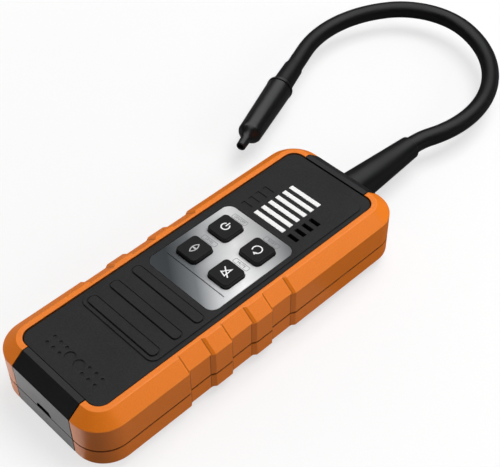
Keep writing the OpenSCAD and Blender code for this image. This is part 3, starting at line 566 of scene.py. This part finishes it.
# %% From mesh to piece
def dress(piece_name, data, body, material, node):
    """Turns a mesh into a smooth piece that stands for a solid. With no body, it is left unattached."""
    data.polygons.foreach_set("use_smooth", [True] * len(data.polygons))
    piece = bpy.data.objects.new(piece_name, data)
    scene.collection.objects.link(piece)
    even = piece.modifiers.new("even_normals", "WEIGHTED_NORMAL")
    even.keep_sharp = True
    coat(piece, material)
    if body:
        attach(piece, body)
    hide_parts(node)
    return piece


print("pieces get even normals")

# %% Rounding a solid
DOUBLE = 1e-6
FLAT = math.radians(0.6)
# How strong the painted shade is along the parting line, in inside corners and in two fading rows.
SEAM_SHADE = 0.8
CORNER_SHADE = 0.6
FADING_SHADE = (0.9, 0.35)


def round_edges(mesh, edges, width, segments):
    """Bevels edges and returns the faces that it made."""
    made = bmesh.ops.bevel(mesh, geom=edges, offset=width, offset_type="OFFSET", segments=segments,
                           profile=0.5, affect="EDGES", clamp_overlap=True, loop_slide=True)
    return made["faces"]


def soften(node, piece_name, body, material, width_mm, segments=2, seam_mm=0.0):
    """A copy of a CAD solid with rounded edges, which stands for the solid."""
    mesh = bmesh.new()
    mesh.from_mesh(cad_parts[node].data)
    bmesh.ops.remove_doubles(mesh, verts=mesh.verts, dist=DOUBLE)
    bmesh.ops.dissolve_limit(mesh, angle_limit=FLAT, verts=mesh.verts, edges=mesh.edges)
    rim = mesh.faces.layers.float.new("rim")
    crevice = mesh.faces.layers.float.new("crevice")
    # The crevice mark is painted shade on faces that look into open lines, on grip steps and on inward walls.
    for face in mesh.faces:
        face[crevice] = open_line_shade(face)
    if seam_mm:
        for face in round_edges(mesh, sharp_edges(mesh, at_seam), seam_mm * MM, 1):
            face[crevice] = SEAM_SHADE
    roundings = round_edges(mesh, sharp_edges(mesh, lambda e: not at_seam(e)), width_mm * MM, segments)
    # A rounded inside corner gets painted shade; any other rounding gets the rim mark of its pale edge.
    for face in roundings:
        face[rim], face[crevice] = (0.0, CORNER_SHADE) if hollow(face) else (1.0, 0.0)
    # Roundings beside the darkest faces get a fading painted shade.
    darkest = {face for face in mesh.faces if face[crevice] == OPEN_LINE_SHADE}
    for painted_shade in FADING_SHADE:
        darkest = {face for face in roundings if face not in darkest and beside(face, darkest)}
        for face in darkest:
            face[rim], face[crevice] = 0.0, painted_shade
    bmesh.ops.triangulate(mesh, faces=[f for f in mesh.faces if len(f.verts) > 4])
    bmesh.ops.recalc_face_normals(mesh, faces=mesh.faces)
    data = bpy.data.meshes.new(piece_name)
    mesh.to_mesh(data)
    mesh.free()
    dress(piece_name, data, body, material, node)


print("rounding ready")

# %% [markdown]
# ## Housing
# Two hard shells carry four soft bumpers, which wrap the corners and leave the black end blocks open. Their
# solids already have the chamfers and the grip notches, so only the edges are rounded. All six have the same
# rounding, and a smaller one along the parting line, a little wider on the soft bumpers.

# %% Shells and bumpers
HOUSING = "housing"
HALVES = ("front", "rear")
CASE_EDGE = 0.3
SHELL_SEAM, BUMPER_SEAM = 0.2, 0.25
for half in HALVES:
    soften(f"{half}_case", f"{half}_shell", HOUSING, shell_black, CASE_EDGE, seam_mm=SHELL_SEAM)
for half in HALVES:
    for side in ("left", "right"):
        soften(f"{half}_bumper_{side}", f"{half}_guard_{side}", HOUSING, orange_rubber,
               CASE_EDGE, seam_mm=BUMPER_SEAM)

# %% [markdown]
# ## Panel, plate, keys and light bars
# The panel with its ribs and dimples, the plate and the light bars are thin and crisp. The bumpers' radius
# would blur their relief, so theirs is small. The keys are rubber and rounder.

# %% Front face
CRISP_EDGE = 0.12
KEY_EDGE = 0.2
ROUND_SEGMENTS = 3
KEYS = ("power", "reset", "sensitivity", "mute")
soften("front_panel", "ribbed_panel", HOUSING, panel_grey, CRISP_EDGE)
soften("keypad_plate", "silver_plate", HOUSING, plate_silver, CRISP_EDGE)
soften("light_guide", "light_bars", HOUSING, bar_white, CRISP_EDGE)
for key in KEYS:
    soften(f"{key}_key", f"{key}_button_cap", f"{key}_button", key_rubber, KEY_EDGE,
           ROUND_SEGMENTS)
print("keys:", KEYS)

# %% [markdown]
# ## Boss and sensor
# The tapered boss, the sleeve, the holder and the pull-off cap are turned forms. A profile could be spun
# into each of them again, but their solids are right, and only the edges want rounding.

# %% Turned parts
BOSS_EDGE = 0.3
SENSOR_EDGE = 0.25
soften("neck_boss", "tapered_boss", HOUSING, neck_black, BOSS_EDGE, ROUND_SEGMENTS)
soften("sensor_sleeve", "sleeve", "sensor_head", neck_black, SENSOR_EDGE, ROUND_SEGMENTS)
soften("sensor_holder", "holder", "sensor_head", cap_black, SENSOR_EDGE, ROUND_SEGMENTS)
soften("sensor_cap", "pull_off_cap", "tip", cap_black, SENSOR_EDGE, ROUND_SEGMENTS)

# %% [markdown]
# ## Gooseneck
# The neck is a flexible tube that keeps the bend it is given. It is swept along the same course as the CAD
# solid: a straight, one bend to the right and three to the left, then a straight into the sleeve. A curve
# with a bevel would do as well; here the rings are laid as a mesh.

# %% Course of the neck
def ahead(pose, length):
    """A straight step."""
    x, y, heading = pose
    return x + length * math.cos(heading), y + length * math.sin(heading), heading


def turn(pose, radius, angle):
    """A bend of a positive angle to the left, or a negative one to the right."""
    x, y, heading = pose
    side = math.copysign(radius, angle)
    return (x + side * (math.sin(heading + angle) - math.sin(heading)),
            y - side * (math.cos(heading + angle) - math.cos(heading)), heading + angle)


NECK_START = (0.0, 117.6, math.pi / 2)
FIRST_STRAIGHT = 24.9
BENDS = ((38.5, -20.0), (68.0, 94.0), (41.5, 72.0), (68.5, 56.0))
BEND_STEP = 2.0
LAST_STRAIGHT = (9.0, 18.0, 27.0)
course = [NECK_START, ahead(NECK_START, FIRST_STRAIGHT)]
for radius, degrees in BENDS:
    pose = course[-1]
    count = round(abs(degrees) / BEND_STEP)
    course += [turn(pose, radius, math.radians(degrees) * i / count) for i in range(1, count + 1)]
pose = course[-1]
course += [ahead(pose, length) for length in LAST_STRAIGHT]
print("neck rings:", len(course))

# %% Sweep the neck
NECK_R = 4.75
NECK_Z = 14.0
NECK_SIDES = 40
mesh = bmesh.new()
rings = []
for x, y, heading in course:
    ring = []
    for k in range(NECK_SIDES):
        t = 2 * math.pi * k / NECK_SIDES
        sideways, up = NECK_R * math.cos(t), NECK_R * math.sin(t)
        point = (x + sideways * math.sin(heading), y - sideways * math.cos(heading), NECK_Z + up)
        ring.append(mesh.verts.new([value * MM for value in point]))
    rings.append(ring)
for low, high in zip(rings, rings[1:]):
    for k in range(NECK_SIDES):
        following = (k + 1) % NECK_SIDES
        mesh.faces.new((low[k], low[following], high[following], high[k]))
mesh.faces.new(reversed(rings[0]))
mesh.faces.new(rings[-1])
data = bpy.data.meshes.new("neck_tube")
mesh.to_mesh(data)
mesh.free()
neck = dress("neck_tube", data, None, neck_black, "gooseneck")
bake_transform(neck)
print("neck faces:", len(data.polygons))

# %% [markdown]
# ## Strokes of ink
# Ink has almost no thickness, yet it is geometry here, so it stays sharp at any distance and exports with
# the model. A stroke is a flat strip along a line of points, and a filled sign is a thin prism. Where one
# crosses another it is printed a little thicker, so that their tops never lie in one plane.

# %% A stroke
INK = 0.03 * MM
CROSSING_INK = 0.04 * MM
CORNER_LIMIT = 0.4


def unit_normals(points, closed):
    """The sideways direction at each point of a line, longer at a corner so that the width holds."""
    normals = []
    last = len(points) - 1
    for i, point in enumerate(points):
        before = points[i - 1] if (i or closed) else point
        after = points[(i + 1) % len(points)] if (i < last or closed) else point
        d0 = Vector((point[0] - before[0], point[1] - before[1]))
        d1 = Vector((after[0] - point[0], after[1] - point[1]))
        d0, d1 = (d0 if d0.length else d1).normalized(), (d1 if d1.length else d0).normalized()
        across = Vector((-(d0.y + d1.y), d0.x + d1.x)).normalized()
        normals.append(across / max(CORNER_LIMIT, across.dot(Vector((-d0.y, d0.x)))))
    return normals


def stroke(mesh, points, width, closed=False, thick=INK):
    """A flat strip of ink along points, in millimetres."""
    rows = []
    for point, normal in zip(points, unit_normals(points, closed)):
        left = Vector(point) + normal * (width / 2)
        right = Vector(point) - normal * (width / 2)
        rows.append([mesh.verts.new((p.x * MM, p.y * MM, z)) for p in (left, right) for z in (0.0, thick)])
    pairs = list(zip(rows, rows[1:])) + ([(rows[-1], rows[0])] if closed else [])
    for (l0, l1, r0, r1), (m0, m1, s0, s1) in pairs:
        mesh.faces.new((l1, r1, s1, m1))
        mesh.faces.new((l0, m0, s0, r0))
        mesh.faces.new((l0, l1, m1, m0))
        mesh.faces.new((r0, s0, s1, r1))
    if not closed:
        for l0, l1, r0, r1 in (rows[0], rows[-1]):
            mesh.faces.new((l0, r0, r1, l1))


print("ink is", round(INK / MM, 3), "mm thick")

# %% Fills, arcs and the printing
def fill(mesh, outline, thick=INK):
    """A filled shape of ink, in millimetres."""
    low = [mesh.verts.new((x * MM, y * MM, 0.0)) for x, y in outline]
    high = [mesh.verts.new((x * MM, y * MM, thick)) for x, y in outline]
    mesh.faces.new(reversed(low))
    mesh.faces.new(high)
    for i in range(len(low)):
        k = (i + 1) % len(low)
        mesh.faces.new((low[i], low[k], high[k], high[i]))


def arc(radius, start, end, centre=(0.0, 0.0), steps=40):
    """Points on an arc between two angles in degrees."""
    angles = [math.radians(start + (end - start) * i / steps) for i in range(steps + 1)]
    return [(centre[0] + radius * math.cos(a), centre[1] + radius * math.sin(a)) for a in angles]


def lay_ink(name, data, spot, body, material):
    """Lays a mesh of ink on a spot of a body."""
    data.transform(Matrix.Translation(spot))
    piece = bpy.data.objects.new(name, data)
    scene.collection.objects.link(piece)
    coat(piece, material)
    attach(piece, body)


def print_sign(name, draw, spot, body, material):
    """Draws a sign with a function and lays it on a spot of a body."""
    mesh = bmesh.new()
    draw(mesh)
    bmesh.ops.recalc_face_normals(mesh, faces=mesh.faces)
    data = bpy.data.meshes.new(name)
    mesh.to_mesh(data)
    mesh.free()
    lay_ink(name, data, spot, body, material)


print("printing ready")

# %% [markdown]
# ## Signs on the keys
# White ink on the keys shows what they do: power, a circular arrow, a leak sign and a crossed-out bell. A
# font with symbols could give them, but they would look different with each font, so every sign is drawn
# from its own strokes. All measures are in millimetres from the key's middle.

# %% Key signs
def power_sign(mesh):
    """A ring that is open at the top, and a bar in the opening."""
    stroke(mesh, arc(radius=1.95, start=120, end=420), width=0.66)
    stroke(mesh, [(0.0, 0.2), (0.0, 2.95)], width=0.64)


def reset_sign(mesh):
    """A circular arrow."""
    stroke(mesh, arc(radius=2.25, start=222, end=-62), width=0.6)
    fill(mesh, [(-0.5, -2.25), (1.1, -3.2), (1.2, -1.3)], thick=CROSSING_INK)


def leak_sign(mesh):
    """A lens of two arcs with a band across."""
    side = arc(radius=3.75, start=-47.2, end=47.2, centre=(-2.55, 0.0), steps=24)
    stroke(mesh, side + [(-x, y) for x, y in reversed(side)][1:-1], width=0.54, closed=True)
    stroke(mesh, [(-1.0, 0.0), (1.0, 0.0)], width=0.85, thick=CROSSING_INK)


def bell_sign(mesh):
    """A leaning bell, crossed out."""
    lean = math.radians(-16.0)
    cos, sin = math.cos(lean), math.sin(lean)
    flank = [(1.55, -1.75), (1.05, -0.8), (0.8, 0.6), (0.35, 1.6), (0.0, 2.9)]
    bell = flank + [(-x, y) for x, y in reversed(flank)][1:]
    stroke(mesh, [(x * cos - y * sin, x * sin + y * cos) for x, y in bell], width=0.56, closed=True)
    stroke(mesh, [(-2.8, 1.9), (2.8, -1.9)], width=0.6, thick=CROSSING_INK)


SIGNS = {
    "power": (power_sign, white_ink), "reset": (reset_sign, white_ink),
    "sensitivity": (leak_sign, soft_ink), "mute": (bell_sign, white_ink),
}
for key, (draw, ink) in SIGNS.items():
    low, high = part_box(f"{key}_key")
    spot = Vector(((low.x + high.x) / 2, (low.y + high.y) / 2, high.z))
    print_sign(f"{key}_sign", draw, spot, f"{key}_button", ink)
print("signs:", list(SIGNS))

# %% [markdown]
# ## Small labels on the plate
# Above each key the plate has a small grey label in a rounded outline, and a dark rule fills the fine groove
# below the keys. The words are plain ones. A text object is turned into a mesh, so that it exports as any
# piece does.

# %% Rule in the plate's groove
RULE_Y = -7.1
RULE_HALF = 18.3
RULE_WIDTH = 0.4
RULE_DEPTH = 0.24 * MM


def rule(mesh):
    """A dark line from side to side."""
    stroke(mesh, [(-RULE_HALF, RULE_Y), (RULE_HALF, RULE_Y)], RULE_WIDTH)


rule_spot = Vector((0.0, 0.0, plate_high.z - RULE_DEPTH))
print_sign("plate_rule", rule, rule_spot, HOUSING, dark_ink)
print("rule:", 2 * RULE_HALF, "mm long")

# %% Labels
LABELS = {"power": "ON/OFF", "reset": "RESET", "sensitivity": "LEVEL", "mute": "MUTE"}
LABEL_RISE = 9.1 * MM
LABEL_TEXT = 1.9 * MM
LABEL_HALF_W, LABEL_HALF_H, LABEL_CORNER = 4.4, 1.3, 0.6
LABEL_LINE = 0.2


def label_outline(mesh):
    """A rounded frame."""
    points = []
    for start, sx, sy in ((0, 1, 1), (90, -1, 1), (180, -1, -1), (270, 1, -1)):
        centre = (sx * (LABEL_HALF_W - LABEL_CORNER), sy * (LABEL_HALF_H - LABEL_CORNER))
        points += arc(LABEL_CORNER, start, start + 90, centre=centre, steps=6)
    stroke(mesh, points, LABEL_LINE, closed=True)


def label_text(name, words, spot):
    """Words as a thin mesh of ink."""
    curve = bpy.data.curves.new(name + "_curve", "FONT")
    curve.body = words
    curve.size = LABEL_TEXT
    curve.align_x = "CENTER"
    curve.align_y = "CENTER"
    curve.extrude = INK / 2
    source = bpy.data.objects.new(name + "_curve", curve)
    scene.collection.objects.link(source)
    bpy.context.view_layer.update()
    data = bpy.data.meshes.new_from_object(source.evaluated_get(bpy.context.evaluated_depsgraph_get()))
    bpy.data.objects.remove(source)
    data.name = name
    lay_ink(name, data, spot + Vector((0.0, 0.0, INK / 2)), HOUSING, grey_ink)


for key, words in LABELS.items():
    low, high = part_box(f"{key}_key")
    spot = Vector(((low.x + high.x) / 2, (low.y + high.y) / 2 + LABEL_RISE, plate_high.z))
    print_sign(f"{key}_label_frame", label_outline, spot, HOUSING, grey_ink)
    label_text(f"{key}_label", words, spot)
print("labels:", list(LABELS.values()))

# %% [markdown]
# ## Floor
# The photograph is a product shot on pure white. A lit white floor could be pushed until it clips, but that
# would bleach the part as well. Here the floor is an ordinary pale one near the object, where it takes the
# shadow, and turns into plain white further out. It throws back less light than it shows, so that the side
# walls stay darker than the front.

# %% Floor plane
FLOOR_HALF = 3.0
FLOOR_GAP = 0.1 * MM
floor_z = cad_low.z - FLOOR_GAP
corners = [(x * FLOOR_HALF, y * FLOOR_HALF, floor_z) for x, y in ((-1, -1), (1, -1), (1, 1), (-1, 1))]
floor_data = bpy.data.meshes.new("studio_floor")
floor_data.from_pydata(corners, [], [(0, 1, 2, 3)])
floor = bpy.data.objects.new("studio_floor", floor_data)
scene.collection.objects.link(floor)
print("floor at z", round(floor_z / MM, 2), "mm")

# %% Material of the floor
WHITE = rgb(1.0, 1.0, 1.0)
FLOOR_BOUNCE = rgb(0.24, 0.24, 0.24)
FLOOR_SEEN = rgb(0.92, 0.92, 0.92)
FLOOR_MIDDLE = (-0.03, 0.08, floor_z)
NEAR_REACH, NEAR_WHITE = (0.12, 0.34), (0.6, 1.0)
FAR_REACH, FAR_WHITE = (0.5, 1.0), (0.0, 1.0)


def seen_plainly(tree, path):
    """1 for rays from the camera, in reflections and through glass."""
    total = path.outputs["Is Camera Ray"]
    for label in ("Is Glossy Ray", "Is Transmission Ray"):
        total = combine(tree, "MAXIMUM", total, path.outputs[label])
    return total


def blend_shaders(tree, mask, first, second, output):
    """Mixes two shaders by a mask and sends them to an output node."""
    blend = add(tree, "ShaderNodeMixShader")
    tree.links.new(mask, blend.inputs[0])
    tree.links.new(first.outputs[0], blend.inputs[1])
    tree.links.new(second.outputs[0], blend.inputs[2])
    tree.links.new(blend.outputs[0], tree.nodes[output].inputs["Surface"])


floor_pale, tree, shader = new_material("floor_pale")
path = add(tree, "ShaderNodeLightPath")
by_camera = path.outputs["Is Camera Ray"]
tree.links.new(mix(tree, by_camera, FLOOR_BOUNCE, FLOOR_SEEN), shader.inputs["Base Color"])
shader.inputs["Roughness"].default_value = 0.9
shader.inputs["Specular IOR Level"].default_value = 0.0
white = add(tree, "ShaderNodeEmission", {"Strength": 1.0, "Color": WHITE})
place = add(tree, "ShaderNodeTexCoord")
offset = add(tree, "ShaderNodeVectorMath", operation="DISTANCE")
offset.inputs[1].default_value = FLOOR_MIDDLE
tree.links.new(place.outputs["Object"], offset.inputs[0])
away = offset.outputs["Value"]
near = combine(tree, "MULTIPLY", spread(tree, away, *NEAR_REACH, *NEAR_WHITE), by_camera)
far = combine(tree, "MULTIPLY", spread(tree, away, *FAR_REACH, *FAR_WHITE), seen_plainly(tree, path))
blend_shaders(tree, combine(tree, "MAXIMUM", near, far), shader, white, "Material Output")
floor_data.materials.append(floor_pale)
print("floor material:", len(tree.nodes), "nodes")

# %% [markdown]
# ## World
# The world is plain white to the camera and in reflections, as a white studio is. As a light it is weak, and
# a little stronger from above and behind, where a bright ceiling would be. A picture of a studio could light
# the part as well, but two background shaders need no file.

# %% Studio world
SKY_MIDDLE = Vector((-0.15, 0.62, 0.77)).normalized()
SKY_STRENGTH = (0.09, 0.45)
world = bpy.data.worlds.new("studio_world")
scene.world = world
world.use_nodes = True
tree = world.node_tree
ambient = tree.nodes["Background"]
ambient.inputs["Color"].default_value = WHITE
place = add(tree, "ShaderNodeTexCoord")
towards = add(tree, "ShaderNodeVectorMath", operation="DOT_PRODUCT")
towards.inputs[1].default_value = SKY_MIDDLE
tree.links.new(place.outputs["Generated"], towards.inputs[0])
tree.links.new(spread(tree, towards.outputs["Value"], 0.0, 1.0, *SKY_STRENGTH), ambient.inputs["Strength"])
white = add(tree, "ShaderNodeBackground", {"Color": WHITE, "Strength": 1.0})
path = add(tree, "ShaderNodeLightPath")
blend_shaders(tree, seen_plainly(tree, path), ambient, white, "World Output")
print("world:", world.name)

# %% [markdown]
# ## Soft light
# A large soft box hangs behind and above, and two smaller ones stand low to the left and right. Point lamps
# would do, but they throw hard shadows. The boxes stay out of reflections, because a bright square on black
# plastic would give them away.

# %% Light boxes
def soft_light(name, place, target, size, watts):
    """A square area light that points at a target."""
    light = bpy.data.lights.new(name, "AREA")
    light.shape = "SQUARE"
    light.size = size
    light.energy = watts
    lamp = bpy.data.objects.new(name, light)
    scene.collection.objects.link(lamp)
    lamp.location = place
    lamp.rotation_euler = (Vector(target) - Vector(place)).to_track_quat("-Z", "Y").to_euler()
    lamp.visible_glossy = False


soft_light("top_box", (0.08, 0.46, 1.08), (0.0, 0.05, 0.0), size=0.8, watts=9.8)
soft_light("left_box", (-0.66, -0.78, 0.20), (0.0, 0.0, 0.0), size=0.5, watts=2.8)
soft_light("right_box", (0.84, 0.46, 0.46), (0.0, 0.0, 0.0), size=0.5, watts=3.3)

# %% [markdown]
# ## Curtains and mats
# Black plastic looks black only where it mirrors something dark. Dark curtains keep the black parts black, a
# dark mat lies under the neck and a white one before the end face: like a studio's flags, they only show in
# reflections.

# %% Cards
CURTAIN_RADIUS = 1.3
CURTAIN_STEPS = 24
MAT_LIFT = 0.05 * MM


def card(name, points, faces, shade, glow=0.0):
    """A plain card that only reflections see. It may glow like a light table."""
    data = bpy.data.meshes.new(name)
    data.from_pydata(points, [], faces)
    piece = bpy.data.objects.new(name, data)
    scene.collection.objects.link(piece)
    piece.visible_camera = piece.visible_diffuse = piece.visible_shadow = piece.visible_transmission = False
    material, _, shader = new_material(name + "_cloth")
    shader.inputs["Base Color"].default_value = rgb(shade, shade, shade)
    shader.inputs["Specular IOR Level"].default_value = 0.0
    shader.inputs["Emission Color"].default_value = WHITE
    shader.inputs["Emission Strength"].default_value = glow
    data.materials.append(material)


def curtain(name, start, end, height, shade):
    """An upright curved card between two bearings in degrees."""
    angles = [math.radians(start + (end - start) * i / CURTAIN_STEPS) for i in range(CURTAIN_STEPS + 1)]
    points = [(CURTAIN_RADIUS * math.cos(a), CURTAIN_RADIUS * math.sin(a), z)
              for a in angles for z in (0.0, height)]
    card(name, points, [(2 * i, 2 * i + 1, 2 * i + 3, 2 * i + 2) for i in range(CURTAIN_STEPS)], shade)


def mat(name, outline, shade, glow=0.0):
    """A card that lies on the floor."""
    card(name, [(x, y, floor_z + MAT_LIFT) for x, y in outline], [tuple(range(len(outline)))], shade, glow)


curtain("front_curtain", -150.0, 40.0, height=2.2, shade=0.01)
curtain("side_curtain", 40.0, 75.0, height=1.0, shade=0.05)
curtain("back_curtain", 75.0, 215.0, height=0.85, shade=0.03)
mat("white_mat", [(-0.12, -0.193), (0.012, -0.193), (0.022, -0.093), (-0.12, -0.093)], shade=0.9, glow=0.92)
mat("dark_mat", [(-0.50, 0.05), (0.25, 0.05), (0.25, 0.60), (-0.50, 0.60)], shade=0.07)
